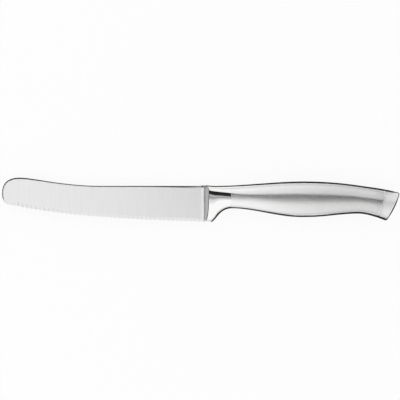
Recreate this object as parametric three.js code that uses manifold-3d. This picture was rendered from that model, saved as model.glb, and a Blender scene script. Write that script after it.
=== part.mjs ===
// Serrated table knife with a hollow steel handle, lying on its side as it would on a table.
// Millimetres. +X runs from the blade's tip to the end of the handle, +Y to the spine, +Z up.
// While it is drawn, the tip is at x = 0, the straight spine at y = 0 and the middle plane at z = 0.
import * as THREE from "three";
import { mergeVertices } from "three/addons/utils/BufferGeometryUtils.js";
import Module from "manifold-3d";

const wasm = await Module();
wasm.setup();

// Lengths along the knife, one after the other
const BLADE_LENGTH = 122;
const BOLSTER_LENGTH = 16.4;
const NECK_TO_THROAT = 14;
const NECK_TO_BELLY = 44;
const BELLY_TO_PINCH = 32.6;
const PINCH_TO_CAP = 16.9;
const CAP_LENGTH = 7.5;

// Blade
const HEEL_HEIGHT = 21.9;
const TIP_RISE = 5;
const TIP_PEAK_AT = 10.5;
const TIP_DROP = 4;
const SPINE_RISE_AT = 61;
const EDGE_START_AT = 5;
const EDGE_START_DROP = 11.5;
const EDGE_START_SLOPE = -0.22;
const EDGE_HEEL_SLOPE = -0.033;
const HEEL_SPINE_THICKNESS = 2;
const HEEL_EDGE_THICKNESS = 0.5;
const TIP_SPINE_THICKNESS = 1.5;

// How far each curve of the blade's outline runs on in the direction of its end, before it bends away
const SPINE_REACH = 25;
const PEAK_REAR_REACH = 9.2;
const PEAK_FRONT_REACH = 7.2;
const TIP_UPPER_REACH = 5;
const TIP_LOWER_REACH = 4;
const EDGE_TIP_REACH = 3.6;
const EDGE_START_REACH = 33;
const EDGE_HEEL_REACH = 43;

// Scalloped edge, hollow-ground from the left side alone
const SCALLOP_PITCH = 2.675;
const SCALLOP_DEPTH = 0.55;
const GRIND_ANGLE = THREE.MathUtils.degToRad(18);

// Tang and the pin that locks it in the bolster
const TANG_LENGTH = 42;
const TANG_TOP_DROP = 2.8;
const TANG_HEIGHT = 8;
const TANG_END_HEIGHT = 6;
const PIN_DIAMETER = 2.5;

// Handle outline, measured from the straight line of the spine
const LIP_RISE = 0.55;
const LIP_LENGTH = 6.5;
const NOSE_DROP = 21.8;
const GUARD_DROP = 22.2;
const GUARD_LENGTH = 3.6;
const SWEEP_AT = 8.3;
const SWEEP_DROP = 18.15;
const NECK_HEIGHT = 13.5;
const NECK_LOW_AT = 2;
const BELLY_RISE = 2.72;
const BELLY_DROP = 18.75;
const BELLY_FLAT = 3.5;
const PINCH_RISE = 0.35;
const PINCH_DROP = 16.7;
const END_TOP_DROP = 4.05;
const END_DROP = 20.7;
const SEAM_LEAN = 4.8;
const END_LEAN = 8.1;

// Slopes of the handle's outline at those places: along its back, along its belly side, and of its lean
const LIP_SLOPE = -0.06;
const PINCH_BACK_SLOPE = -0.15;
const END_BACK_SLOPE = -0.3;
const NOSE_SLOPE = -0.1;
const SWEEP_SLOPE = 1.27;
const NECK_SLOPE = -0.04;
const BELLY_FRONT_SLOPE = -0.03;
const BELLY_REAR_SLOPE = 0.01;
const END_SLOPE = -0.36;
const SEAM_LEAN_SLOPE = 0.26;
const END_LEAN_SLOPE = 0.3;

// Handle thickness, across both sides, and how far below the top its thickest line runs, with its slopes
const BOLSTER_THICKNESS = 13;
const BOLSTER_TAPER = -0.03;
const NECK_THICKNESS = 12.2;
const BELLY_THICKNESS = 13.2;
const PINCH_THICKNESS = 11.8;
const END_THICKNESS = 13;
const NOSE_CREST = 3;
const NECK_CREST = 4.95;
const THROAT_CREST = 7.8;
const BELLY_CREST = 9.5;
const PINCH_CREST = 8;
const END_CREST = 7.3;
const NOSE_CREST_SLOPE = 0.36;
const NECK_CREST_SLOPE = 0.207;
const THROAT_CREST_SLOPE = 0.12;
const BELLY_CREST_SLOPE = 0.027;
const PINCH_CREST_SLOPE = -0.08;

// How flat the sections are at that line, and how full they stay towards the outline, above and below it
const GUARD_UPPER_TURN = 3.3;
const NECK_UPPER_TURN = 1.76;
const THROAT_UPPER_TURN = 2.1;
const BELLY_UPPER_TURN = 1.95;
const END_UPPER_TURN = 1.64;
const UPPER_FULLNESS = 2.6;
const GUARD_LOWER_TURN = 1.45;
const NECK_LOWER_TURN = 2.7;
const THROAT_LOWER_TURN = 1.71;
const BELLY_LOWER_TURN = 2.19;
const END_LOWER_TURN = 2.3;
const GUARD_FULLNESS = 3.1;
const SWEEP_FULLNESS = 2.47;
const NECK_FULLNESS = 3.65;
const THROAT_FULLNESS = 4.38;
const BELLY_FULLNESS = 2.7;
const END_FULLNESS = 2.23;

// Bolster front, shells, cap and inner pieces
const BEVEL_RUN = 3;
const SPIGOT_LENGTH = 6;
const SHELL_WALL = 1;
const CAP_DOME = 0.8;
const CAP_EDGE_RADIUS = 1.1;
const WEIGHT_DIAMETER = 6;
const WEIGHT_LENGTH = 26;
const WEIGHT_SETBACK = 1.5;

// Clearances: between pieces that slide together, and along the seams that show
const FIT = 0.3;
const SEAM_GAP = 0.1;

// How far a joined root or a cutting shape runs past the faces that it has to pass
const OVERRUN = 2;

// Flat sides round an oval section, a scallop's grinding wheel, the pin and the balance weight
const OVAL_SIDES = 36;
const WHEEL_SIDES = 72;
const PIN_SIDES = 20;
const WEIGHT_SIDES = 24;

// Steps along each curve of the blade's outline, along the handle's pieces and over the end of the cap
const BLADE_STEPS = 14;
const BOLSTER_STEPS = 18;
const SHELL_STEPS = 26;
const FILLER_STEPS = 14;
const CAP_STEPS = 5;
const SPIGOT_STEPS = 4;
const RIM_STEPS = 4;
const DOME_SHARES = [0.8, 0.55, 0.25];

// Points closer than this are one
const MERGE_DISTANCE = 1e-5;

// Places worked out from the lengths
const noseX = BLADE_LENGTH;
const bolsterSeamX = noseX + BOLSTER_LENGTH;
const throatX = bolsterSeamX + NECK_TO_THROAT;
const bellyX = bolsterSeamX + NECK_TO_BELLY;
const pinchX = bellyX + BELLY_TO_PINCH;
const capSeamX = pinchX + PINCH_TO_CAP;
const endX = capSeamX + CAP_LENGTH;
const pinX = bolsterSeamX + SPIGOT_LENGTH / 2;
const spigotInset = SHELL_WALL + FIT;

// A smooth curve y(x) through stations, level at each station unless a slope is given.
function curveThrough(stations) {
  return (x) => {
    let i = 1;
    while (i < stations.length - 1 && x > stations[i].x) i += 1;
    const a = stations[i - 1];
    const b = stations[i];
    const span = b.x - a.x;
    const t = THREE.MathUtils.clamp((x - a.x) / span, 0, 1);
    const rise = t * t * (3 - 2 * t);
    const bend = (a.slope ?? 0) * t * (1 - t) ** 2 - (b.slope ?? 0) * t * t * (1 - t);
    return a.y + (b.y - a.y) * rise + bend * span;
  };
}

// Handle outline: the back, the belly side, and how far each section leans back at its lower end
const topLine = curveThrough([
  { x: noseX, y: LIP_RISE, slope: LIP_SLOPE },
  { x: noseX + LIP_LENGTH, y: 0 },
  { x: bellyX, y: BELLY_RISE },
  { x: pinchX, y: PINCH_RISE, slope: PINCH_BACK_SLOPE },
  { x: endX, y: -END_TOP_DROP, slope: END_BACK_SLOPE },
]);
const bottomLine = curveThrough([
  { x: noseX, y: -NOSE_DROP, slope: NOSE_SLOPE },
  { x: noseX + GUARD_LENGTH, y: -GUARD_DROP },
  { x: noseX + SWEEP_AT, y: -SWEEP_DROP, slope: SWEEP_SLOPE },
  { x: bolsterSeamX + NECK_LOW_AT, y: -NECK_HEIGHT, slope: NECK_SLOPE },
  { x: bellyX - BELLY_FLAT, y: -BELLY_DROP, slope: BELLY_FRONT_SLOPE },
  { x: bellyX + BELLY_FLAT, y: -BELLY_DROP, slope: BELLY_REAR_SLOPE },
  { x: pinchX, y: -PINCH_DROP },
  { x: endX - END_LEAN, y: -END_DROP, slope: END_SLOPE },
]);
const leanLine = curveThrough([
  { x: bellyX, y: 0 },
  { x: capSeamX, y: SEAM_LEAN, slope: SEAM_LEAN_SLOPE },
  { x: endX, y: END_LEAN, slope: END_LEAN_SLOPE },
]);
const halfThickness = curveThrough([
  { x: noseX, y: BOLSTER_THICKNESS / 2, slope: BOLSTER_TAPER },
  { x: bolsterSeamX, y: NECK_THICKNESS / 2 },
  { x: bellyX, y: BELLY_THICKNESS / 2 },
  { x: pinchX, y: PINCH_THICKNESS / 2 },
  { x: endX, y: END_THICKNESS / 2 },
]);
const crestDrop = curveThrough([
  { x: noseX, y: NOSE_CREST, slope: NOSE_CREST_SLOPE },
  { x: bolsterSeamX, y: NECK_CREST, slope: NECK_CREST_SLOPE },
  { x: throatX, y: THROAT_CREST, slope: THROAT_CREST_SLOPE },
  { x: bellyX, y: BELLY_CREST, slope: BELLY_CREST_SLOPE },
  { x: pinchX, y: PINCH_CREST, slope: PINCH_CREST_SLOPE },
  { x: endX, y: END_CREST },
]);
const upperTurn = curveThrough([
  { x: noseX, y: GUARD_UPPER_TURN },
  { x: bolsterSeamX, y: NECK_UPPER_TURN },
  { x: throatX, y: THROAT_UPPER_TURN },
  { x: bellyX, y: BELLY_UPPER_TURN },
  { x: endX, y: END_UPPER_TURN },
]);
const lowerTurn = curveThrough([
  { x: noseX, y: GUARD_LOWER_TURN },
  { x: bolsterSeamX, y: NECK_LOWER_TURN },
  { x: throatX, y: THROAT_LOWER_TURN },
  { x: bellyX, y: BELLY_LOWER_TURN },
  { x: endX, y: END_LOWER_TURN },
]);
const lowerFullness = curveThrough([
  { x: noseX, y: GUARD_FULLNESS },
  { x: noseX + SWEEP_AT, y: SWEEP_FULLNESS },
  { x: bolsterSeamX, y: NECK_FULLNESS },
  { x: throatX, y: THROAT_FULLNESS },
  { x: bellyX, y: BELLY_FULLNESS },
  { x: endX, y: END_FULLNESS },
]);

// The frame of one handle section: its top point, bottom point and the unit vector up along it.
function sectionFrame(x) {
  const top = new THREE.Vector2(x, topLine(x));
  const lowX = x - leanLine(x);
  const bottom = new THREE.Vector2(lowX, bottomLine(lowX));
  const up = top.clone().sub(bottom);
  const height = up.length();
  return { top, bottom, height, up: up.normalize() };
}

// The middle of a section, on the handle's centre line.
function sectionMiddle(x) {
  const { top, bottom } = sectionFrame(x);
  const middle = top.add(bottom).multiplyScalar(0.5);
  return new THREE.Vector3(middle.x, middle.y, 0);
}

// One point of a section's oval, at an angle from its top, drawn in from the outside by an inset.
function ovalPoint(x, angle, inset) {
  const { top, height, up } = sectionFrame(x);
  const crest = crestDrop(x);
  const above = Math.cos(angle) >= 0;
  const reach = (above ? crest : height - crest) - inset;
  const turn = above ? upperTurn(x) : lowerTurn(x);
  const fullness = above ? UPPER_FULLNESS : lowerFullness(x);
  const along = Math.sign(Math.cos(angle)) * reach * Math.abs(Math.cos(angle)) ** (2 / turn);
  const half = halfThickness(x) - inset;
  const across = Math.sign(Math.sin(angle)) * half * Math.abs(Math.sin(angle)) ** (2 / fullness);
  const place = top.addScaledVector(up, along - crest);
  return new THREE.Vector3(place.x, place.y, across);
}

// A ring of points round a whole section.
function ovalRing(x, inset, sides) {
  const ring = [];
  for (let i = 0; i < sides; i += 1) {
    ring.push(ovalPoint(x, (i * 2 * Math.PI) / sides, inset));
  }
  return ring;
}

// The ring of what fits inside the shells' walls.
function spigotRing(x) {
  return ovalRing(x, spigotInset, OVAL_SIDES);
}

// Evenly spaced numbers from first to last.
function spread(first, last, steps) {
  const values = [];
  for (let i = 0; i <= steps; i += 1) {
    values.push(first + ((last - first) * i) / steps);
  }
  return values;
}

// A closed geometry from points and triangles, with shared points merged.
function closedGeometry(points, triangles) {
  const geometry = new THREE.BufferGeometry();
  geometry.setFromPoints(points);
  geometry.setIndex(triangles);
  return mergeVertices(geometry, MERGE_DISTANCE);
}

// A solid skin over rings of equal count, closed by flat fans at the first and last ring.
function loftRings(rings) {
  const sides = rings[0].length;
  const points = rings.flat();
  const triangles = [];
  for (let r = 0; r + 1 < rings.length; r += 1) {
    for (let i = 0; i < sides; i += 1) {
      const a = r * sides + i;
      const b = r * sides + ((i + 1) % sides);
      triangles.push(a, b, a + sides, b, b + sides, a + sides);
    }
  }
  const first = points.push(averagePoint(rings[0])) - 1;
  const last = points.push(averagePoint(rings.at(-1))) - 1;
  const lastRing = (rings.length - 1) * sides;
  for (let i = 0; i < sides; i += 1) {
    const next = (i + 1) % sides;
    triangles.push(first, next, i);
    triangles.push(last, lastRing + i, lastRing + next);
  }
  return closedGeometry(points, triangles);
}

function averagePoint(ring) {
  const sum = new THREE.Vector3();
  ring.forEach((point) => sum.add(point));
  return sum.divideScalar(ring.length);
}

// Joins and cuts of closed geometries.
function solidOf(geometry) {
  const bare = geometry.clone();
  bare.deleteAttribute("normal");
  bare.deleteAttribute("uv");
  const merged = mergeVertices(bare, MERGE_DISTANCE);
  const mesh = new wasm.Mesh({
    numProp: 3,
    vertProperties: new Float32Array(merged.attributes.position.array),
    triVerts: new Uint32Array(merged.index.array),
  });
  return new wasm.Manifold(mesh);
}

function geometryOf(solid) {
  const mesh = solid.getMesh();
  const geometry = new THREE.BufferGeometry();
  geometry.setAttribute("position", new THREE.BufferAttribute(mesh.vertProperties, 3));
  geometry.setIndex(new THREE.BufferAttribute(mesh.triVerts, 1));
  return geometry;
}

// Half the blade's thickness. It falls evenly towards the edge and the tip, so the flanks are flat.
const flankSlope = (HEEL_SPINE_THICKNESS - HEEL_EDGE_THICKNESS) / 2 / HEEL_HEIGHT;
const distalSlope = (HEEL_SPINE_THICKNESS - TIP_SPINE_THICKNESS) / 2 / BLADE_LENGTH;
function bladeHalf(x, y) {
  return HEEL_SPINE_THICKNESS / 2 + flankSlope * y + distalSlope * (x - BLADE_LENGTH);
}

// Turns a unit-deep extrusion into one whose faces follow the blade's flanks, moved out by some clearance.
function shapeToFlanks(geometry, clearance) {
  const place = geometry.attributes.position;
  for (let i = 0; i < place.count; i += 1) {
    const side = place.getZ(i) > 0.5 ? 1 : -1;
    place.setZ(i, side * (bladeHalf(place.getX(i), place.getY(i)) + clearance));
  }
  return geometry;
}

// The cutting edge, from the heel forward to where the tip's curve begins.
const heelX = BLADE_LENGTH - SEAM_GAP;
const edgeCurve = new THREE.CubicBezierCurve(
  new THREE.Vector2(heelX, -HEEL_HEIGHT),
  new THREE.Vector2(heelX - EDGE_HEEL_REACH, -HEEL_HEIGHT - EDGE_HEEL_REACH * EDGE_HEEL_SLOPE),
  new THREE.Vector2(
    EDGE_START_AT + EDGE_START_REACH,
    -EDGE_START_DROP + EDGE_START_REACH * EDGE_START_SLOPE,
  ),
  new THREE.Vector2(EDGE_START_AT, -EDGE_START_DROP),
);

// The tang's four corners, grown all round by some clearance.
function tangCorners(clearance) {
  const top = -TANG_TOP_DROP;
  const taper = (TANG_HEIGHT - TANG_END_HEIGHT) / 2;
  const tangEndX = heelX + TANG_LENGTH + clearance;
  return [
    new THREE.Vector2(heelX, top + clearance),
    new THREE.Vector2(tangEndX, top - taper + clearance),
    new THREE.Vector2(tangEndX, top - TANG_HEIGHT + taper - clearance),
    new THREE.Vector2(heelX, top - TANG_HEIGHT - clearance),
  ];
}

// The blade's outline with its tang and pin hole.
function bladeOutline() {
  const tang = tangCorners(0);
  const outline = new THREE.Shape();
  outline.moveTo(SPINE_RISE_AT, 0);
  outline.bezierCurveTo(
    SPINE_RISE_AT - SPINE_REACH,
    0,
    TIP_PEAK_AT + PEAK_REAR_REACH,
    TIP_RISE,
    TIP_PEAK_AT,
    TIP_RISE,
  );
  outline.bezierCurveTo(
    TIP_PEAK_AT - PEAK_FRONT_REACH,
    TIP_RISE,
    0,
    -TIP_DROP + TIP_UPPER_REACH,
    0,
    -TIP_DROP,
  );
  outline.bezierCurveTo(
    0,
    -TIP_DROP - TIP_LOWER_REACH,
    EDGE_START_AT - EDGE_TIP_REACH,
    -EDGE_START_DROP - EDGE_TIP_REACH * EDGE_START_SLOPE,
    EDGE_START_AT,
    -EDGE_START_DROP,
  );
  outline.bezierCurveTo(
    edgeCurve.v2.x,
    edgeCurve.v2.y,
    edgeCurve.v1.x,
    edgeCurve.v1.y,
    edgeCurve.v0.x,
    edgeCurve.v0.y,
  );
  outline.lineTo(tang[3].x, tang[3].y);
  outline.lineTo(tang[2].x, tang[2].y);
  outline.lineTo(tang[1].x, tang[1].y);
  outline.lineTo(tang[0].x, tang[0].y);
  outline.lineTo(heelX, 0);
  outline.closePath();
  outline.holes.push(pinCircle(PIN_DIAMETER / 2 + FIT));
  return outline;
}

function pinCircle(radius) {
  const hole = new THREE.Path();
  hole.absarc(pinX, -TANG_TOP_DROP - TANG_HEIGHT / 2, radius, 0, 2 * Math.PI, true);
  return hole;
}

// One scallop's grinding wheel: a cylinder that leans over the left flank and breaks through the edge.
function scallopWheel(share) {
  const foot = edgeCurve.getPointAt(share);
  const along = edgeCurve.getTangentAt(share).negate();
  const half = bladeHalf(foot.x, foot.y);
  const cutRise = SCALLOP_DEPTH * Math.sin(GRIND_ANGLE);
  const radius = ((SCALLOP_PITCH / 2) ** 2 + cutRise ** 2) / (2 * cutRise);
  const wheel = new THREE.CylinderGeometry(radius, radius, 4 * radius, WHEEL_SIDES);
  const edgeWay = new THREE.Vector3(along.x, along.y, 0);
  const inward = new THREE.Vector3(-along.y, along.x, 0);
  const lift = new THREE.Vector3(0, 0, 1);
  const axis = inward.clone().multiplyScalar(Math.cos(GRIND_ANGLE));
  axis.addScaledVector(lift, Math.sin(GRIND_ANGLE));
  const frame = new THREE.Matrix4().makeBasis(edgeWay, axis, edgeWay.clone().cross(axis));
  const height = radius / Math.cos(GRIND_ANGLE) - half - SCALLOP_DEPTH * Math.tan(GRIND_ANGLE);
  frame.setPosition(foot.x, foot.y, height);
  return solidOf(wheel.applyMatrix4(frame));
}

function bladeGeometry() {
  const extrusion = new THREE.ExtrudeGeometry(bladeOutline(), {
    depth: 1,
    bevelEnabled: false,
    curveSegments: BLADE_STEPS,
  });
  let blade = solidOf(shapeToFlanks(extrusion, 0));
  const edgeLength = edgeCurve.getLength();
  const count = Math.floor(edgeLength / SCALLOP_PITCH);
  for (let i = 0; i < count; i += 1) {
    const share = ((i + 0.5) * SCALLOP_PITCH) / edgeLength;
    blade = blade.subtract(scallopWheel(share));
  }
  return geometryOf(blade);
}

// The wedge that bevels the bolster's front down to the blade's own thickness.
function bevelWedge() {
  const rear = bolsterSeamX + SPIGOT_LENGTH + OVERRUN;
  const outline = new THREE.Shape();
  outline.moveTo(noseX, LIP_RISE + OVERRUN);
  outline.lineTo(noseX, -GUARD_DROP - OVERRUN);
  outline.lineTo(rear, -GUARD_DROP - OVERRUN);
  outline.lineTo(rear, LIP_RISE + OVERRUN);
  const wedge = new THREE.ExtrudeGeometry(outline, { depth: 1, bevelEnabled: false });
  const slope = (BOLSTER_THICKNESS - HEEL_SPINE_THICKNESS) / 2 / BEVEL_RUN;
  const place = wedge.attributes.position;
  for (let i = 0; i < place.count; i += 1) {
    const side = place.getZ(i) > 0.5 ? 1 : -1;
    const open = slope * (place.getX(i) - noseX);
    place.setZ(i, side * (bladeHalf(noseX, place.getY(i)) + open));
  }
  return solidOf(wedge);
}

// The room for the tang, with its clearance all round, open at the front.
function tangRoom() {
  const corners = tangCorners(FIT);
  corners[0].x = noseX - OVERRUN;
  corners[3].x = noseX - OVERRUN;
  const room = new THREE.ExtrudeGeometry(new THREE.Shape(corners), { depth: 1, bevelEnabled: false });
  return solidOf(shapeToFlanks(room, FIT));
}

// A round bar across the knife at the pin's place.
function crossBar(radius, halfLength) {
  const bar = new THREE.CylinderGeometry(radius, radius, 2 * halfLength, PIN_SIDES);
  bar.rotateX(Math.PI / 2);
  bar.translate(pinX, -TANG_TOP_DROP - TANG_HEIGHT / 2, 0);
  return bar;
}

function bolsterGeometry() {
  const collar = loftRings(
    spread(noseX, bolsterSeamX, BOLSTER_STEPS).map((x) => ovalRing(x, 0, OVAL_SIDES)),
  );
  const spigotEnd = bolsterSeamX + SPIGOT_LENGTH;
  const spigot = loftRings(
    spread(bolsterSeamX - OVERRUN, spigotEnd, SPIGOT_STEPS).map(spigotRing),
  );
  const pinRoom = crossBar(PIN_DIAMETER / 2 + FIT, NECK_THICKNESS);
  const solid = solidOf(collar)
    .add(solidOf(spigot))
    .intersect(bevelWedge())
    .subtract(tangRoom())
    .subtract(solidOf(pinRoom));
  return geometryOf(solid);
}

// One pressed half of the hollow handle, on the left (side 1) or the right (side -1).
function shellGeometry(side) {
  const sides = OVAL_SIDES / 3;
  const rings = spread(bolsterSeamX + SEAM_GAP, capSeamX - SEAM_GAP, SHELL_STEPS).map((x) => {
    const ring = [];
    for (let i = 0; i <= sides; i += 1) {
      ring.push(halfPoint(x, (i * Math.PI) / sides, 0, side));
    }
    for (let i = sides; i >= 0; i -= 1) {
      ring.push(halfPoint(x, (i * Math.PI) / sides, SHELL_WALL, side));
    }
    return ring;
  });
  return loftStrips(rings, side);
}

// A point of one half's outer or inner face, kept clear of the middle plane by half a seam.
function halfPoint(x, angle, inset, side) {
  const point = ovalPoint(x, angle, inset);
  const thin = halfThickness(x) - inset;
  const rise = (Math.abs(point.z) * (thin - SEAM_GAP / 2)) / thin;
  point.z = side * (rise + SEAM_GAP / 2);
  return point;
}

// A skin over channel-shaped rings, whose ends are closed by strips between the outer and inner faces.
function loftStrips(rings, side) {
  const count = rings[0].length;
  const points = rings.flat();
  const triangles = [];
  const lastRing = (rings.length - 1) * count;
  for (let r = 0; r + 1 < rings.length; r += 1) {
    for (let i = 0; i < count; i += 1) {
      const a = r * count + i;
      const b = r * count + ((i + 1) % count);
      triangles.push(a, b, a + count, b, b + count, a + count);
    }
  }
  for (let i = 0; i + 1 < count / 2; i += 1) {
    const j = count - 1 - i;
    triangles.push(i, j, i + 1, j, j - 1, i + 1);
    triangles.push(lastRing + i, lastRing + i + 1, lastRing + j);
    triangles.push(lastRing + j, lastRing + i + 1, lastRing + j - 1);
  }
  if (side < 0) triangles.reverse();
  return closedGeometry(points, triangles);
}

// The cap's end: rings that round its rim and then rise to a shallow dome.
function capEndRings() {
  const rings = [];
  const { up } = sectionFrame(endX);
  const backward = new THREE.Vector3(up.y, -up.x, 0);
  for (const turn of spread(0, Math.PI / 2, RIM_STEPS).slice(1)) {
    const inset = CAP_EDGE_RADIUS * (1 - Math.cos(turn));
    const step = CAP_EDGE_RADIUS * Math.sin(turn);
    rings.push(ovalRing(endX, inset, OVAL_SIDES).map((p) => p.addScaledVector(backward, step)));
  }
  const rim = rings.at(-1);
  const middle = averagePoint(rim);
  for (const share of DOME_SHARES) {
    const step = CAP_DOME * (1 - share ** 2);
    rings.push(rim.map((p) => p.clone().lerp(middle, 1 - share).addScaledVector(backward, step)));
  }
  return rings;
}

function endCapGeometry() {
  const body = spread(capSeamX, endX, CAP_STEPS).map((x) => ovalRing(x, 0, OVAL_SIDES));
  const cap = loftRings([...body, ...capEndRings()]);
  const spigotStart = capSeamX - SPIGOT_LENGTH;
  const spigot = loftRings(
    spread(spigotStart, capSeamX + OVERRUN, SPIGOT_STEPS).map(spigotRing),
  );
  return geometryOf(solidOf(cap).add(solidOf(spigot)));
}

// The balance weight's axis follows the handle's centre line, ending just short of the cap's spigot.
const fillerEndX = capSeamX - SPIGOT_LENGTH - FIT;
function weightBar(radius, length, rearGap) {
  const rear = sectionMiddle(fillerEndX);
  const front = sectionMiddle(fillerEndX - WEIGHT_LENGTH);
  const axis = rear.clone().sub(front).normalize();
  const bar = new THREE.CylinderGeometry(radius, radius, length, WEIGHT_SIDES);
  bar.applyQuaternion(new THREE.Quaternion().setFromUnitVectors(new THREE.Vector3(0, 1, 0), axis));
  const middle = rear.addScaledVector(axis, -rearGap - length / 2);
  bar.translate(middle.x, middle.y, 0);
  return bar;
}

function fillerGeometry() {
  const start = bolsterSeamX + SPIGOT_LENGTH + FIT;
  const core = loftRings(
    spread(start, fillerEndX, FILLER_STEPS).map(spigotRing),
  );
  const openEnd = SPIGOT_LENGTH;
  const pocket = weightBar(
    WEIGHT_DIAMETER / 2 + FIT,
    WEIGHT_LENGTH + WEIGHT_SETBACK + FIT + openEnd,
    -openEnd,
  );
  const solid = solidOf(core).subtract(tangRoom()).subtract(solidOf(pocket));
  return geometryOf(solid);
}

function pinGeometry() {
  const half = NECK_THICKNESS / 2 - spigotInset - FIT;
  return crossBar(PIN_DIAMETER / 2, half);
}

// Steel and resin finishes
function steel(colour, roughness) {
  return new THREE.MeshStandardMaterial({ color: colour, roughness, metalness: 1 });
}
const groundSteel = steel(0xd6d6d6, 0.45);
const polishedSteel = steel(0xe2e2e0, 0.1);
const satinSteel = steel(0xcfcfcd, 0.3);
const capSteel = steel(0xd4d5d6, 0.35);
const plainSteel = steel(0x8c8c8c, 0.5);
const resin = new THREE.MeshStandardMaterial({ color: 0x5a5148, roughness: 0.9, metalness: 0 });

const knife = new THREE.Group();
function addPiece(name, geometry, material) {
  const piece = new THREE.Mesh(geometry, material);
  piece.name = name;
  knife.add(piece);
}
addPiece("blade", bladeGeometry(), groundSteel);
addPiece("bolster", bolsterGeometry(), polishedSteel);
addPiece("left_handle_shell", shellGeometry(1), satinSteel);
addPiece("right_handle_shell", shellGeometry(-1), satinSteel.clone());
addPiece("end_cap", endCapGeometry(), capSteel);
addPiece("handle_filler", fillerGeometry(), resin);
addPiece("balance_weight", weightBar(WEIGHT_DIAMETER / 2, WEIGHT_LENGTH, WEIGHT_SETBACK), plainSteel);
addPiece("tang_pin", pinGeometry(), plainSteel.clone());

// The origin is under the middle of the knife, on the surface that it lies on.
const box = new THREE.Box3().setFromObject(knife);
const middle = box.getCenter(new THREE.Vector3());
knife.position.set(-middle.x, -middle.y, -box.min.z);

export default knife;
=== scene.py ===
# Serrated table knife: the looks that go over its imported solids, in the same frame.
# The knife's sizes are in millimetres, drawn with the tip at x = 0, the straight spine at y = 0 and the
# middle plane at z = 0. to_frame() turns them into the part's frame, in metres. The floor, the light panel
# and the cards round the knife are in metres.
import math

import bmesh
import bpy
import numpy as np
from mathutils.kdtree import KDTree
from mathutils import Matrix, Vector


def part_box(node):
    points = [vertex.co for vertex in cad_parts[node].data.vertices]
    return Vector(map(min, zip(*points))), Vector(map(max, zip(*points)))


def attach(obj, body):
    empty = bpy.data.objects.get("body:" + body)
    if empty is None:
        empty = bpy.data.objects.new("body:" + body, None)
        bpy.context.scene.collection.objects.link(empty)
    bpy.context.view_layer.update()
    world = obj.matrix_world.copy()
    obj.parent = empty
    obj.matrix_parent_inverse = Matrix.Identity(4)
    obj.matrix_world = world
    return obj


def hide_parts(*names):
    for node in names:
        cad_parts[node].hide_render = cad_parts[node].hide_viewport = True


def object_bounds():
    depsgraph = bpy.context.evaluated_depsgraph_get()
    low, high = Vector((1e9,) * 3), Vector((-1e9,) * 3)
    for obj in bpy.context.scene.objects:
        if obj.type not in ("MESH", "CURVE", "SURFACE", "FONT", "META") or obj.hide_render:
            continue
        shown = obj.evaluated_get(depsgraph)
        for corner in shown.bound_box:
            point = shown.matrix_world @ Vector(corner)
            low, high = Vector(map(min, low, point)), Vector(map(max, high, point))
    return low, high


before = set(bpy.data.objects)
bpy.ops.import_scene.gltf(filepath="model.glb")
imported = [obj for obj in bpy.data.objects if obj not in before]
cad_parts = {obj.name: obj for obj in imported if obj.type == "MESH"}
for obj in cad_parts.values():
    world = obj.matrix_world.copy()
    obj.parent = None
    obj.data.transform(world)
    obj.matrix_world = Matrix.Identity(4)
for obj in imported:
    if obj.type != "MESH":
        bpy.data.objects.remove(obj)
cad_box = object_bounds()
MM = 0.001

# Lengths along the knife, and the places that they give
BLADE_LENGTH = 122
BOLSTER_LENGTH = 16.4
NECK_TO_THROAT = 14
NECK_TO_BELLY = 44
BELLY_TO_PINCH = 32.6
PINCH_TO_CAP = 16.9
CAP_LENGTH = 7.5
NOSE_X = BLADE_LENGTH
BOLSTER_SEAM_X = NOSE_X + BOLSTER_LENGTH
THROAT_X = BOLSTER_SEAM_X + NECK_TO_THROAT
BELLY_X = BOLSTER_SEAM_X + NECK_TO_BELLY
PINCH_X = BELLY_X + BELLY_TO_PINCH
CAP_SEAM_X = PINCH_X + PINCH_TO_CAP
END_X = CAP_SEAM_X + CAP_LENGTH

# Blade
HEEL_HEIGHT = 21.9
HEEL_GAP = 0.1
HEEL_X = BLADE_LENGTH - HEEL_GAP
TIP_RISE = 5
TIP_PEAK_AT = 10.5
TIP_DROP = 4
SPINE_RISE_AT = 61
EDGE_START_AT = 5
EDGE_START_DROP = 11.5
EDGE_START_SLOPE = -0.22
EDGE_HEEL_SLOPE = -0.033
HEEL_SPINE_THICKNESS = 2
HEEL_EDGE_THICKNESS = 0.5
TIP_SPINE_THICKNESS = 1.5

# How far each curve of the blade's outline runs on in the direction of its end, before it bends away
SPINE_REACH = 25
PEAK_REAR_REACH = 9.2
PEAK_FRONT_REACH = 7.2
TIP_UPPER_REACH = 5
TIP_LOWER_REACH = 4
EDGE_TIP_REACH = 3.6
EDGE_START_REACH = 33
EDGE_HEEL_REACH = 43

# Scalloped edge, hollow-ground from the left side alone
SCALLOP_PITCH = 2.675
SCALLOP_DEPTH = 0.55
GRIND_ANGLE = math.radians(18)
EDGE_LAND = 0.03

# Rounded back of the blade, and the fillets that lead its heel into the bolster
SPINE_ROUND = 0.8
HEEL_ROUND = 1.5
HEEL_ROUND_FROM = 92
TIP_ROUND = 0.9
EDGE_START_ROUND = 0.3
ROUND_SHAPE = 1.15
HEEL_FILLET = 0.3
HEEL_FILLET_RUN = 2
SPINE_FILLET = 0.4
SPINE_FILLET_RUN = 4

# Tang and the pin that locks it in the bolster
TANG_LENGTH = 42
TANG_TOP_DROP = 2.8
TANG_HEIGHT = 8
TANG_END_HEIGHT = 6
PIN_DIAMETER = 2.5
FIT = 0.3

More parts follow.
